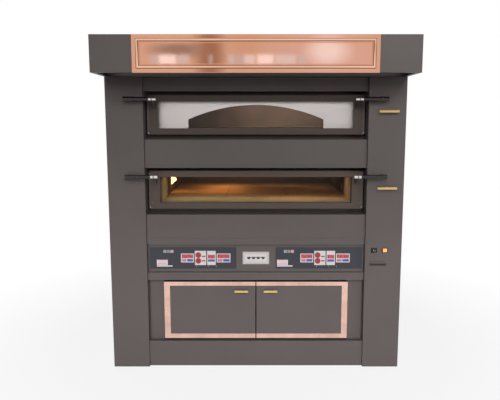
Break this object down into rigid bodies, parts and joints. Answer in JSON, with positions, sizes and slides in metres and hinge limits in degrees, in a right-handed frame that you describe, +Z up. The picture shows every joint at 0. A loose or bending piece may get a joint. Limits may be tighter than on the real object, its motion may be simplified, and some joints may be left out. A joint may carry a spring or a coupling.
{
  "type": "electric pizza oven",
  "caption": "Free-standing electric deck oven: two glazed drop-down doors, brick hearths, control fascia, storage cabinet below and a copper-faced extraction hood on top.",
  "frame": {"origin": "on the floor, under the middle of the whole object's outer box", "axes": "+X to the right as seen from the front, +Y to the back, +Z up"},
  "size_m": [1.66, 1.705, 1.938],
  "materials": {
    "body_paint": "satin warm dark grey enamel",
    "door_enamel": "satin black enamel",
    "door_paint": "satin dark brown-grey enamel",
    "copper": "polished copper sheet, lacquered",
    "brass_bar": "polished brass",
    "lining_steel": "brushed stainless",
    "arch_steel": "bright stainless",
    "galvanised": "galvanised sheet",
    "frame_steel": "primer",
    "filter_metal": "matt",
    "chrome": "polished",
    "door_glass": "clear",
    "lamp_glass": "warm, lit",
    "firebrick": "matt",
    "blanket": "ceramic fibre blanket",
    "element_sheath": "heat-browned sheath",
    "membrane": "satin membrane",
    "module_frame": "semi-gloss",
    "key_red": "semi-gloss",
    "black_plastic": "satin",
    "rocker_black": "gloss",
    "rocker_amber": "lit, translucent",
    "grip_black": "semi-gloss"
  },
  "bodies": {
    "body": {"base_frame": "frame_steel", "levelling_feet": "galvanised", "left_pilaster": "body_paint", "right_pilaster": "body_paint", "left_side_panel": "body_paint", "right_side_panel": "body_paint", "back_panel": "body_paint", "roof_panel": "body_paint", "hood_shell": "body_paint", "hood_copper_panel": "copper", "hood_filter": "filter_metal", "flue_collar": "galvanised", "header_panel": "body_paint", "mid_panel": "body_paint", "low_panel": "body_paint", "plinth": "body_paint", "control_fascia": "body_paint", "control_panels": "membrane", "display_modules": "module_frame", "control_box": "galvanised", "switch_housings": "black_plastic", "cabinet_front_frame": "body_paint", "cabinet_liner": "galvanised", "hinge_pins": "chrome", "upper_chamber": "lining_steel", "lower_chamber": "lining_steel", "hearth_tiles": "firebrick", "heating_elements": "element_sheath", "upper_arch_plate": "arch_steel", "insulation": "blanket", "chamber_lamps": "lamp_glass", "steam_ducts": "galvanised", "cable_gland": "black_plastic"},
    "upper_door": {"upper_door_frame": "door_paint", "upper_door_glass": "door_glass", "upper_door_arms": "door_enamel", "upper_door_grips": "grip_black", "upper_door_collars": "chrome"},
    "lower_door": {"lower_door_frame": "door_paint", "lower_door_glass": "door_glass", "lower_door_arms": "door_enamel", "lower_door_grips": "grip_black", "lower_door_collars": "chrome"},
    "left_cabinet": {"left_cabinet_door": "body_paint", "left_cabinet_trim": "copper", "left_cabinet_handle": "brass_bar"},
    "right_cabinet": {"right_cabinet_door": "body_paint", "right_cabinet_trim": "copper", "right_cabinet_handle": "brass_bar"},
    "upper_damper": {"upper_damper_gate": "galvanised", "upper_damper_pull": "brass_bar"},
    "lower_damper": {"lower_damper_gate": "galvanised", "lower_damper_pull": "brass_bar"},
    "main_rocker": {"main_switch_rocker": "rocker_black"},
    "lamp_rocker": {"lamp_switch_rocker": "rocker_amber"},
    "left_upper_button": {"left_upper_key": "key_red"},
    "left_lower_button": {"left_lower_key": "key_red"},
    "right_upper_button": {"right_upper_key": "key_red"},
    "right_lower_button": {"right_lower_key": "key_red"}
  },
  "joints": [
    {"name": "upper_door_hinge", "type": "hinge", "parent": "body", "child": "upper_door", "pos_m": [0, -0.5005, 1.365], "axis": [1, 0, 0], "range_deg": [0, 90]},
    {"name": "lower_door_hinge", "type": "hinge", "parent": "body", "child": "lower_door", "pos_m": [0, -0.5005, 0.941], "axis": [1, 0, 0], "range_deg": [0, 90]},
    {"name": "left_cabinet_hinge", "type": "hinge", "parent": "body", "child": "left_cabinet", "pos_m": [-0.528, -0.5355, 0.339], "axis": [0, 0, -1], "range_deg": [0, 105]},
    {"name": "right_cabinet_hinge", "type": "hinge", "parent": "body", "child": "right_cabinet", "pos_m": [0.528, -0.5355, 0.339], "axis": [0, 0, 1], "range_deg": [0, 105]},
    {"name": "upper_damper_slide", "type": "slide", "parent": "body", "child": "upper_damper", "axis": [0, -1, 0], "range_m": [0, 0.045]},
    {"name": "lower_damper_slide", "type": "slide", "parent": "body", "child": "lower_damper", "axis": [0, -1, 0], "range_m": [0, 0.045]},
    {"name": "main_rocker_tip", "type": "hinge", "parent": "body", "child": "main_rocker", "pos_m": [0.673, -0.5705, 0.7025], "axis": [0, 0, 1], "range_deg": [-18, 0]},
    {"name": "lamp_rocker_tip", "type": "hinge", "parent": "body", "child": "lamp_rocker", "pos_m": [0.734, -0.5705, 0.7025], "axis": [0, 0, 1], "range_deg": [-18, 0]},
    {"name": "left_upper_key_press", "type": "slide", "parent": "body", "child": "left_upper_button", "axis": [0, 1, 0], "range_m": [0, 0.0015], "stiffness_N_per_m": 300},
    {"name": "left_lower_key_press", "type": "slide", "parent": "body", "child": "left_lower_button", "axis": [0, 1, 0], "range_m": [0, 0.0015], "stiffness_N_per_m": 300},
    {"name": "right_upper_key_press", "type": "slide", "parent": "body", "child": "right_upper_button", "axis": [0, 1, 0], "range_m": [0, 0.0015], "stiffness_N_per_m": 300},
    {"name": "right_lower_key_press", "type": "slide", "parent": "body", "child": "right_lower_button", "axis": [0, 1, 0], "range_m": [0, 0.0015], "stiffness_N_per_m": 300}
  ]
}
